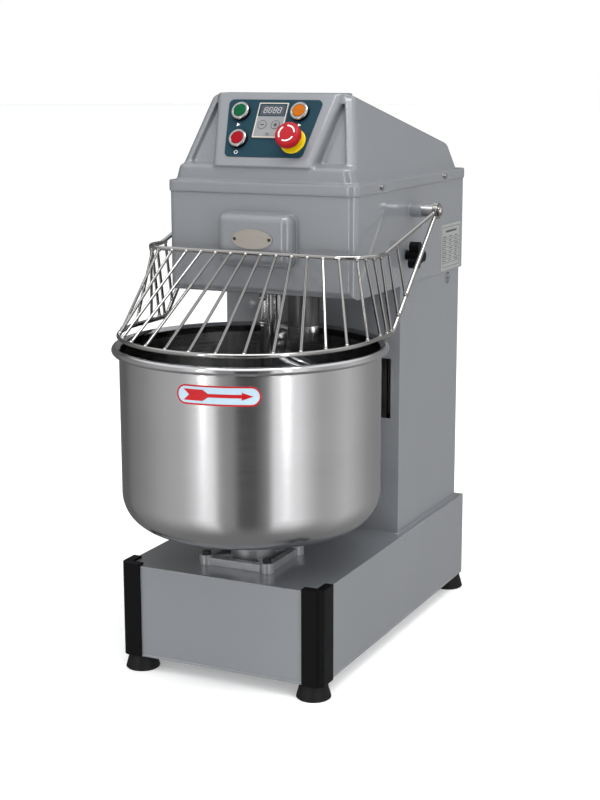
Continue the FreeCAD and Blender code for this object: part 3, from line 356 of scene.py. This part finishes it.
def arc_band(x, y, inner, outer, start, end, count=16):
    """A band round a centre, with rounded ends."""
    middle, half = (inner + outer) / 2, (outer - inner) / 2
    points = []
    for radius, first, last in ((outer, start, end), (inner, end, start)):
        for i in range(count + 1):
            angle = math.radians(first + (last - first) * i / count)
            points.append((x + radius * math.cos(angle), y + radius * math.sin(angle)))
        tip = math.radians(last)
        turn = tip if radius == outer else tip + math.pi
        for i in range(1, 6):
            angle = turn + math.pi * i / 6
            points.append((x + middle * math.cos(tip) + half * math.cos(angle),
                           y + middle * math.sin(tip) + half * math.sin(angle)))
    return points


# ---------------------------------------------------------------- control panel
PRESS = Vector(next(j["axis"] for j in frame["joints"] if j["name"] == "slow_press")).normalized()
OUT = -PRESS
UP = OUT.cross(Vector((1, 0, 0)))
plate_low, plate_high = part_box("control_panel_plate")
PANEL = (plate_low + plate_high) / 2


def on_panel(across, up, height):
    """A place on the panel, in metres right of, above and out from the plate's middle."""
    return PANEL + Vector((across, 0, 0)) + UP * up + OUT * height


def seen_on_panel(node):
    """(across, up, lowest, highest, half width) of a node as the panel's own axes see it."""
    spots = [v.co - PANEL for v in nodes[node].data.vertices]
    across = [spot.x for spot in spots]
    up, out = ([spot.dot(axis) for spot in spots] for axis in (UP, OUT))
    return ((min(across) + max(across)) / 2, (min(up) + max(up)) / 2, min(out), max(out),
            (max(across) - min(across)) / 2)


FACE = seen_on_panel("control_panel_plate")[3]
LAYER = 0.00025
BUTTONS = {name: seen_on_panel(name) for name in ("slow_button", "stop_button", "fast_button")}


def panel_piece(name, outlines, low, high, body, shader):
    """Flat pieces on the panel; each outline is a list of loops."""
    shape = bmesh.new()
    for loops in outlines:
        add_prism(shape, loops, low, high, on_panel)
    return finished(name, shape, body, shader)


def triangle(x, y, size):
    """A sign that points to the right."""
    return [(x - size * 0.5, y - size * 0.6), (x + size * 0.6, y), (x - size * 0.5, y + size * 0.6)]


def button_details():
    """A black sleeve round each bezel, and under each button one triangle, two triangles or a ring."""
    outer, inner, tall = 0.0153, 0.0143, 0.0045
    sleeves = [[circle(x, y, outer, 64), circle(x, y, inner, 64)] for x, y, *_ in BUTTONS.values()]
    panel_piece("bezel_sleeves", sleeves, FACE, FACE + tall, "frame", black)
    below, size, apart, ring, hole = 0.0215, 0.0052, 0.0032, 0.0032, 0.0023
    slow, fast, stop = (BUTTONS[name] for name in ("slow_button", "fast_button", "stop_button"))
    symbols = [[triangle(slow[0], slow[1] - below, size)]]
    symbols += [[triangle(fast[0] + shift, fast[1] - below, size)] for shift in (-apart, apart)]
    symbols.append([circle(stop[0], stop[1] - below, radius, 32) for radius in (ring, hole)])
    panel_piece("panel_symbols", symbols, FACE, FACE + LAYER, "frame", mark_white)


def stop_details():
    """Three white arcs on the mushroom's crown."""
    x, y, _, high, radius = seen_on_panel("stop_mushroom")
    first, sweep = 12, 78
    arcs = [[arc_band(x, y, radius * 0.56, radius * 0.67, start, start + sweep)]
            for start in (first, first + 120, first + 240)]
    panel_piece("stop_arrows", arcs, high - 0.0001, high + LAYER, "stop_mushroom", mark_white)


SEGMENTS = {"flat": ((0, 1), (0, 0), (0, -1)), "upright": ((-1, 0.5), (1, 0.5), (-1, -0.5), (1, -0.5))}


def digit(x, y, tall):
    """The seven bars of an unlit figure, leaning to the right."""
    half, bar, lean = tall * 0.27, tall * 0.09, 0.16
    loops = []
    for kind, spots in SEGMENTS.items():
        for sx, sy in spots:
            cx, cy = sx * half, sy * tall / 2
            long = (half if kind == "flat" else tall / 4) - bar * 0.35
            if kind == "flat":
                bars = [(-long, 0), (-long + bar / 2, -bar / 2), (long - bar / 2, -bar / 2), (long, 0),
                        (long - bar / 2, bar / 2), (-long + bar / 2, bar / 2)]
            else:
                bars = [(0, -long), (bar / 2, -long + bar / 2), (bar / 2, long - bar / 2), (0, long),
                        (-bar / 2, long - bar / 2), (-bar / 2, -long + bar / 2)]
            loops.append([[(x + cx + px + (cy + py) * lean, y + cy + py) for px, py in bars]])
    return loops


def timer_details():
    """The timer's rim, four unlit figures, the signs of its keys and a clock symbol."""
    x, y, _, top, wide = seen_on_panel("timer_unit")
    tall = max((v.co - PANEL).dot(UP) for v in nodes["timer_unit"].data.vertices) - y
    border = 0.0015
    in_wide, in_tall = wide - border, tall - border
    rim = [rounded_rectangle(x - wide, y - tall, x + wide, y + tall, 0.0008),
           rounded_rectangle(x - in_wide, y - in_tall, x + in_wide, y + in_tall, 0.0005)]
    panel_piece("timer_rim", [rim], top, top + 0.0004, "frame", beige)
    wx, wy, _, window_top, window_half = seen_on_panel("timer_window")
    pitch, figure_tall = 0.0078, 0.0092
    figures = []
    for place in range(4):
        figures += digit(wx + (place - 1.5) * pitch, wy, figure_tall)
    panel_piece("timer_digits", figures, window_top, window_top + LAYER, "frame", digit_grey)
    band_low, window_tall = 0.0105, 0.0088
    shade = [rectangle(x - in_wide, wy - band_low, x + in_wide, y + in_tall),
             rectangle(wx - window_half, wy - window_tall, wx + window_half, wy + window_tall)]
    panel_piece("timer_mask", [shade], top, top + 0.0002, "frame", panel_film)
    outlines = []
    for key in ("timer_key_minus", "timer_key_plus"):
        kx, ky, _, key_top, radius = seen_on_panel(key)
        outlines.append([circle(kx, ky, radius + 0.0009), circle(kx, ky, radius + 0.0001)])
        arm, bar = radius * 0.5, radius * 0.13
        signs = [[rectangle(kx - arm, ky - bar, kx + arm, ky + bar)]]
        if key.endswith("plus"):
            signs += [[rectangle(kx - bar, ky + bar, kx + bar, ky + arm)],
                      [rectangle(kx - bar, ky - arm, kx + bar, ky - bar)]]
        panel_piece(key + "_sign", signs, key_top, key_top + LAYER, key, mark_black)
    panel_piece("key_outlines", outlines, top, top + LAYER, "frame", mark_black)
    cx, cy, size, hand = x, y - tall + 0.0055, 0.0028, 0.0003
    clock = [[circle(cx, cy, size, 32), circle(cx, cy, size * 0.8, 32)],
             [rectangle(cx - hand, cy, cx + hand, cy + size * 0.6)],
             [rectangle(cx + hand, cy, cx + size * 0.55, cy + 0.0005)]]
    panel_piece("clock_symbol", clock, top, top + LAYER, "frame", mark_black)


# ---------------------------------------------------------------- badge, plates and stickers
def ellipse(x, y, wide, tall, count=72):
    """Points of an ellipse about (x, y), from its half width and half height."""
    return [(x + wide * math.cos(2 * math.pi * i / count), y + tall * math.sin(2 * math.pi * i / count))
            for i in range(count)]


def badge_details():
    """A raised border and an inner line on the plain oval badge, and its two rivets."""
    low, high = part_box("name_badge")
    middle = (low + high) / 2
    wide, tall = (high.x - low.x) / 2, (high.z - low.z) / 2

    def on_badge(x, y, height):
        return Vector((middle.x + x, low.y - height, middle.z + y))

    shape = bmesh.new()
    for across, up, line, thick in ((wide, tall, 0.0012, 0.0004), (wide * 0.6, tall * 0.52, 0.0006, LAYER)):
        add_prism(shape, [ellipse(0, 0, across, up), ellipse(0, 0, across - line, up - line)],
                  0, thick, on_badge)
    finished("badge_border", shape, "frame", champagne)
    shape = bmesh.new()
    rivet_x = 0.0295
    for x in (-rivet_x, rivet_x):
        at = Matrix.Translation(on_badge(x, 0, 0.0006)) @ Matrix.Diagonal((1, 0.6, 1, 1))
        bmesh.ops.create_uvsphere(shape, u_segments=20, v_segments=12, radius=0.0026, matrix=at)
    finished("badge_rivets", shape, "frame", mark_black)


def rating_details():
    """Ruled rows and plain bars where a rating plate has its text."""
    low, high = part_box("rating_plate")

    def on_plate(x, y, height):
        return Vector((high.x + height, low.y + x, low.z + y))

    wide, tall = high.y - low.y, high.z - low.z
    edge, line, heading = 0.005, 0.0007, 0.014
    loops = [[rectangle(edge, edge, wide - edge, tall - edge),
              rectangle(edge + line, edge + line, wide - edge - line, tall - edge - line)]]
    rows, columns = 8, 3
    for row in range(1, rows):
        y = edge + (tall - 2 * edge - heading) * row / rows
        loops.append([rectangle(edge + line, y, wide - edge - line, y + line)])
        for column in range(columns):
            x = edge + 0.004 + column * (wide - 2 * edge) / columns
            length = 0.010 + 0.008 * ((row * 5 + column * 3) % 4) / 4
            loops.append([rectangle(x, y + 0.0032, x + length, y + 0.0048)])
    loops.append([rectangle(wide * 0.22, tall - edge - 0.0095, wide * 0.78, tall - edge - 0.006)])
    shape = bmesh.new()
    for loop in loops:
        add_prism(shape, loop, 0, 0.0002, on_plate)
    finished("rating_table", shape, "frame", plate_ink)


def earth_mark():
    """The protective earth symbol, printed on the column's right side."""
    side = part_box("column_shell")[1]
    from_back, height_up = 0.055, 0.5765
    ring, hole, stem, line, ink = 0.0098, 0.0084, 0.006, 0.0007, 0.0002

    def on_side(x, y, height):
        return Vector((side.x + height, side.y - from_back + x, height_up + y))

    shape = bmesh.new()
    add_prism(shape, [circle(0, 0, ring), circle(0, 0, hole)], 0, ink, on_side)
    add_prism(shape, [rectangle(-line, 0, line, stem)], 0, ink, on_side)
    for half, y in ((0.0052, 0), (0.0036, -0.0024), (0.0019, -0.0048)):
        add_prism(shape, [rectangle(-half, y - line, half, y + line)], 0, ink, on_side)
    finished("earth_symbol", shape, "frame", mark_black)


def rotation_sticker():
    """A stadium-shaped film wrapped on the bowl, with a border and an arrow to the right."""
    low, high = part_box("rotation_label")
    bowl_low, bowl_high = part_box("bowl")
    axis = (bowl_low + bowl_high) / 2
    spots = [(v.co.x - axis.x, v.co.y - axis.y) for v in nodes["rotation_label"].data.vertices]
    radius = min(math.hypot(x, y) for x, y in spots)
    angles = [math.atan2(y, x) for x, y in spots]
    middle, half = (min(angles) + max(angles)) / 2, (max(angles) - min(angles)) / 2 * radius
    tall, centre = (high.z - low.z) / 2, (high.z + low.z) / 2
    step = 0.003

    def on_bowl(x, y, height):
        angle = middle + x / radius
        far = radius + height
        return Vector((axis.x + far * math.cos(angle), axis.y + far * math.sin(angle), centre + y))

    def layer(name, loops, height, thick, shader):
        reach = int(half / step)
        slices = [i * step for i in range(-reach, reach + 1)]
        shape = bmesh.new()
        for loop in loops:
            add_prism(shape, loop, height, height + thick, on_bowl, slices)
        return finished(name, shape, "bowl", shader, 60)

    def stadium(inset):
        x, y = half - inset, tall - inset
        return rounded_rectangle(-x, -y, x, y, y - 0.0002, 12)

    band, film_low, film_thick, ink_low, ink_thick = 0.0024, 0.0001, 0.0003, 0.0004, 0.0002
    film = layer("arrow_film", [[stadium(0)]], film_low, film_thick, film_blue)
    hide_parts("rotation_label")
    layer("arrow_border", [[stadium(0), stadium(band)]], ink_low, ink_thick, film_red)
    tail, waist, head = -half + 0.011, -half + 0.049, half - 0.028
    deep, thin, barb = 0.0082, 0.0026, 0.0058
    arrow = [(tail, -deep), (waist - 0.008, -deep), (waist, -thin), (head, -thin), (head, -barb),
             (half - 0.011, 0), (head, barb), (head, thin), (waist, thin), (waist - 0.008, deep),
             (tail, deep), (tail + 0.009, 0)]
    layer("arrow_print", [[arrow]], ink_low, ink_thick, film_red)


# ---------------------------------------------------------------- welds and seams
def islands(mesh):
    """The loose pieces of a mesh, as lists of points."""
    shape = bmesh.new()
    shape.from_mesh(mesh)
    bmesh.ops.remove_doubles(shape, verts=shape.verts, dist=1e-6)
    left, found = set(shape.verts), []
    while left:
        group, edge = [], [left.pop()]
        while edge:
            vert = edge.pop()
            group.append(vert.co.copy())
            for other in (e.other_vert(vert) for e in vert.link_edges):
                if other in left:
                    left.remove(other)
                    edge.append(other)
        found.append(group)
    shape.free()
    return found


def guard_welds():
    """A small uneven bead at both ends of each wire."""
    shortest_wire, tip_reach = 0.05, 0.006
    bead_radius, longer = 0.0036, 1.35
    ripple, ripple_scale = 0.0005, 700
    shape = bmesh.new()
    for group in islands(nodes["guard_bars"].data):
        middle = sum(group, Vector()) / len(group)
        far = max(group, key=lambda p: (p - middle).length)
        other = max(group, key=lambda p: (p - far).length)
        along = (other - far).normalized()
        if (other - far).length < shortest_wire:
            continue
        for end in (far, other):
            tip = [p for p in group if (p - end).length < tip_reach]
            at = sum(tip, Vector()) / len(tip)
            turn = along.to_track_quat("Z", "Y").to_matrix().to_4x4()
            oval = Matrix.Translation(at) @ turn @ Matrix.Diagonal((1, 1, longer, 1))
            bead = bmesh.ops.create_icosphere(shape, subdivisions=2, radius=bead_radius, matrix=oval)
            for vert in bead["verts"]:
                away = (vert.co - at).normalized()
                vert.co += away * ripple * noise.noise(vert.co * ripple_scale)
    finished("guard_welds", shape, "guard", chrome, 60)


def seam_bead(name, path, radius, body, shader):
    """A smooth filler bead along a closed path of points."""
    shape = bmesh.new()
    rings, sides = [], 8
    up = Vector((0, 0, radius))
    for i, point in enumerate(path):
        ahead = (path[(i + 1) % len(path)] - path[i - 1]).normalized()
        side = ahead.cross(Vector((0, 0, 1))).normalized()
        rings.append([shape.verts.new(point + side * radius * math.cos(a) + up * math.sin(a))
                      for a in (2 * math.pi * k / sides for k in range(sides))])
    for i, ring in enumerate(rings):
        after = rings[(i + 1) % len(rings)]
        for k in range(sides):
            shape.faces.new((ring[k], ring[(k + 1) % sides], after[(k + 1) % sides], after[k]))
    return finished(name, shape, body, shader, 80)


def column_seam():
    """The filler bead where the column stands on the base."""
    low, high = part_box("column_shell")
    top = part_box("base_shell")[1].z
    corners = [Vector((low.x, low.y, top)), Vector((high.x, low.y, top)),
               Vector((high.x, high.y, top)), Vector((low.x, high.y, top))]
    path, steps, radius = [], 24, 0.0016
    for start, end in zip(corners, corners[1:] + corners[:1]):
        path += [start.lerp(end, i / steps) for i in range(steps)]
    seam_bead("column_seam", path, radius, "frame", paint)


def slot_liners():
    """Brown inner sheets behind the column's two front slots."""
    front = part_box("column_shell")[0].y
    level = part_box("guide_roller_right")[0].z
    thick = 0.0012
    upper_sheet, lower_sheet = (0.072, 0.150, -0.03, 0.085, 0.062), (0.072, 0.104, -0.05, -0.03, 0.052)
    shape = bmesh.new()
    for sign in (-1, 1):
        for x0, x1, z0, z1, depth in (upper_sheet, lower_sheet):
            place = Matrix.Translation((sign * (x0 + x1) / 2, front + depth, level + (z0 + z1) / 2))
            size = Matrix.Diagonal((x1 - x0, thick, z1 - z0, 1))
            bmesh.ops.create_cube(shape, size=1, matrix=place @ size)
    finished("slot_liners", shape, "frame", liner)


# ---------------------------------------------------------------- moulded cover
def add_bar(shape, half, outline):
    """A closed bar across the machine, from its outline in Y and Z."""
    left, right = ([shape.verts.new((x, y, z)) for y, z in outline] for x in (-half, half))
    shape.faces.new(left)
    shape.faces.new(right[::-1])
    for k in range(len(outline)):
        shape.faces.new((left[k], left[k - 1], right[k - 1], right[k]))


def moulded(node, voxel, rounds, shader, bars):
    """A copy of a CAD node with the soft edges of a moulding, and bars that close slits in its wall."""
    mesh = nodes[node].data.copy()
    shape = bmesh.new()
    shape.from_mesh(mesh)
    for half, outline in bars:
        add_bar(shape, half, outline)
    shape.to_mesh(mesh)
    shape.free()
    obj = bpy.data.objects.new(node + "_moulded", mesh)
    bpy.context.scene.collection.objects.link(obj)
    remesh = obj.modifiers.new("remesh", "REMESH")
    remesh.mode = "VOXEL"
    remesh.voxel_size = voxel
    smooth = obj.modifiers.new("smooth", "SMOOTH")
    smooth.factor = 0.5
    smooth.iterations = rounds
    bpy.context.view_layer.update()
    evaluated = obj.evaluated_get(bpy.context.evaluated_depsgraph_get())
    final = bpy.data.meshes.new_from_object(evaluated)
    obj.modifiers.clear()
    obj.data = final
    obj.data.shade_smooth()
    dress(obj, shader)
    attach(obj, "frame")
    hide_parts(node)


button_details()
stop_details()
timer_details()
badge_details()
rating_details()
earth_mark()
rotation_sticker()
guard_welds()
column_seam()
slot_liners()
# The CAD cover is open in two narrow slits at its rear: behind the console's ridge, and at the foot of
# the rear face. Each bar is a half width and an outline in Y and Z that closes one of them.
CONSOLE_REAR = (0.1065, rectangle(-0.0185, 0.884, -0.0113, 0.8945))
REAR_FOOT = (0.1445, [(0.322, 0.770), (0.3355, 0.770), (0.3305, 0.784), (0.322, 0.784)])
VOXEL, SMOOTHING = 0.002, 7
moulded("top_cover", VOXEL, SMOOTHING, paint, [CONSOLE_REAR, REAR_FOOT])


# ---------------------------------------------------------------- stage, lights and camera
def area_light(name, azimuth, distance, height, width, tall, power, aim=(0, 0, 0.45)):
    """A softbox on a circle about the machine. Azimuth is from the front, towards +X."""
    data = bpy.data.lights.new(name, "AREA")
    data.shape = "RECTANGLE"
    data.size = width
    data.size_y = tall
    data.energy = power
    obj = bpy.data.objects.new(name, data)
    angle = math.radians(azimuth)
    obj.location = (distance * math.sin(angle), -distance * math.cos(angle), height)
    look = Vector(aim) - Vector(obj.location)
    obj.rotation_euler = look.to_track_quat("-Z", "Y").to_euler()
    obj.visible_camera = False
    bpy.context.scene.collection.objects.link(obj)
    return obj


CAMERA_AZIMUTH = 25.5
VIEW = CAMERA_AZIMUTH + 1.8      # the direction from the bowl to the camera
area_light("strip_right", VIEW + 27, 3.4, 1.2, 0.3, 2.6, 14)
area_light("strip_left", VIEW - 40, 3.4, 1.2, 0.25, 2.6, 11)
area_light("overhead", VIEW, 0.9, 3.0, 2.4, 0.7, 34)
area_light("edge_line", VIEW, 0.9, 3.0, 2.4, 0.7, 40).visible_diffuse = False   # for highlights only
area_light("front", VIEW + 10, 3.6, 1.5, 2.0, 2.0, 20).visible_glossy = False
area_light("side", VIEW + 80, 3.4, 1.5, 2.0, 2.0, 26).visible_glossy = False

sun = bpy.data.objects.new("sky", bpy.data.lights.new("sky", "SUN"))
sun.data.energy = 1.15
sun.data.angle = math.radians(70)
sun.rotation_euler = (math.radians(18), math.radians(12), 0)
sun.visible_glossy = False
bpy.context.scene.collection.objects.link(sun)

world = bpy.data.worlds.new("studio")
bpy.context.scene.world = world
world.use_nodes = True
world.node_tree.nodes["Background"].inputs["Color"].default_value = (0.60, 0.605, 0.61, 1)
world.node_tree.nodes["Background"].inputs["Strength"].default_value = 1.0
world.cycles_visibility.glossy = False


def stage_mesh(name, build, shader):
    """A piece of the studio, built by a function that fills a bmesh."""
    mesh = bpy.data.meshes.new(name)
    shape = bmesh.new()
    build(shape)
    shape.to_mesh(mesh)
    shape.free()
    obj = bpy.data.objects.new(name, mesh)
    bpy.context.scene.collection.objects.link(obj)
    dress(obj, shader)
    return obj


def sphere(detail, radius):
    """The function that stage_mesh needs to build a sphere."""
    return lambda shape: bmesh.ops.create_icosphere(shape, subdivisions=detail, radius=radius)


def surround():
    """A soft studio surround that only polished surfaces see: light panels with dark gaps between them."""
    shader = Shader("surround", (0, 0, 0), 1.0, Emission_Strength=1.0)
    turn = shader.add("ShaderNodeTexGradient", gradient_type="RADIAL")
    shader.link(shader.here, turn.inputs["Vector"])
    ramp = shader.add("ShaderNodeValToRGB")
    shader.link(turn.outputs["Fac"], ramp.inputs["Fac"])
    panels = [(-180, 0.12), (-139, 0.12), (-130, 0.2), (-105, 0.3), (-81, 0.46), (-60, 0.53),
              (-42, 1.0), (-33, 1.1), (-28, 0.33), (-14, 0.27), (-12, 0.08), (4, 0.07),
              (8, 0.15), (15, 0.22), (19, 1.0), (42, 0.95), (50, 0.66), (61, 0.44),
              (74, 0.48), (91, 0.62), (108, 0.46), (122, 0.33), (142, 0.27), (156, 0.25)]
    stops = []
    for azimuth, level in panels:
        spot = ((VIEW + azimuth - 90) / 360 + 0.5) % 1.0
        stops.append((spot, level))
    stops.sort()
    ends = (stops[0][1] + stops[-1][1]) / 2
    elements = ramp.color_ramp.elements
    elements[0].position, elements[1].position = 0.0, 1.0
    elements[0].color = elements[1].color = (ends, ends, ends, 1)
    for spot, level in stops:
        elements.new(spot).color = (level, level, level, 1)
    height = shader.add("ShaderNodeSeparateXYZ")
    shader.link(shader.here, height.inputs["Vector"])
    above = shader.span(height.outputs["Z"], 16, 24, 0, 1)
    overhead = shader.span(height.outputs["Z"], 31, 35, 0, 1)
    below = shader.span(height.outputs["Z"], -14, -30, 0, 1)
    colour = shader.blend(above, ramp.outputs["Color"], (0.95, 0.96, 0.98))
    colour = shader.blend(overhead, colour, (0.35, 0.35, 0.36))
    colour = shader.blend(below, colour, (0.2, 0.2, 0.2))
    shader.link(colour, shader.surface.inputs["Emission Color"])
    dome = stage_mesh("surround", sphere(5, 36), shader)
    dome.visible_camera = dome.visible_diffuse = dome.visible_shadow = dome.visible_transmission = False


floor_paint = Shader("pale_floor", (0.93, 0.93, 0.93), 0.6, Emission_Color=(1, 1, 1, 1),
                     Emission_Strength=0.24)
floor_paint.mottle(1.5, 0.01).grain(60, 0.02)
ground = stage_mesh("floor", lambda shape: bmesh.ops.create_grid(shape, x_segments=1, y_segments=1, size=34),
                    floor_paint)
ground.visible_glossy = False
backdrop = Shader("backdrop", (0.0, 0.0, 0.0), 1.0, Emission_Color=(1, 1, 1, 1), Emission_Strength=1.0)
dome = stage_mesh("backdrop", sphere(4, 38), backdrop)
dome.visible_diffuse = dome.visible_glossy = dome.visible_shadow = False
surround()

camera = bpy.data.objects.new("camera", bpy.data.cameras.new("camera"))
bpy.context.scene.collection.objects.link(camera)
camera.data.lens = 71.44
pitch, turn, roll = math.radians(90 - 11.92), math.radians(CAMERA_AZIMUTH), math.radians(-0.1)
camera.matrix_world = (Matrix.Translation((1.1065, -2.2953, 0.9378)) @ Matrix.Rotation(turn, 4, "Z")
                       @ Matrix.Rotation(pitch, 4, "X") @ Matrix.Rotation(roll, 4, "Z"))
camera.data.clip_end = 100
bpy.context.scene.camera = camera
bpy.context.scene.view_settings.view_transform = "Standard"
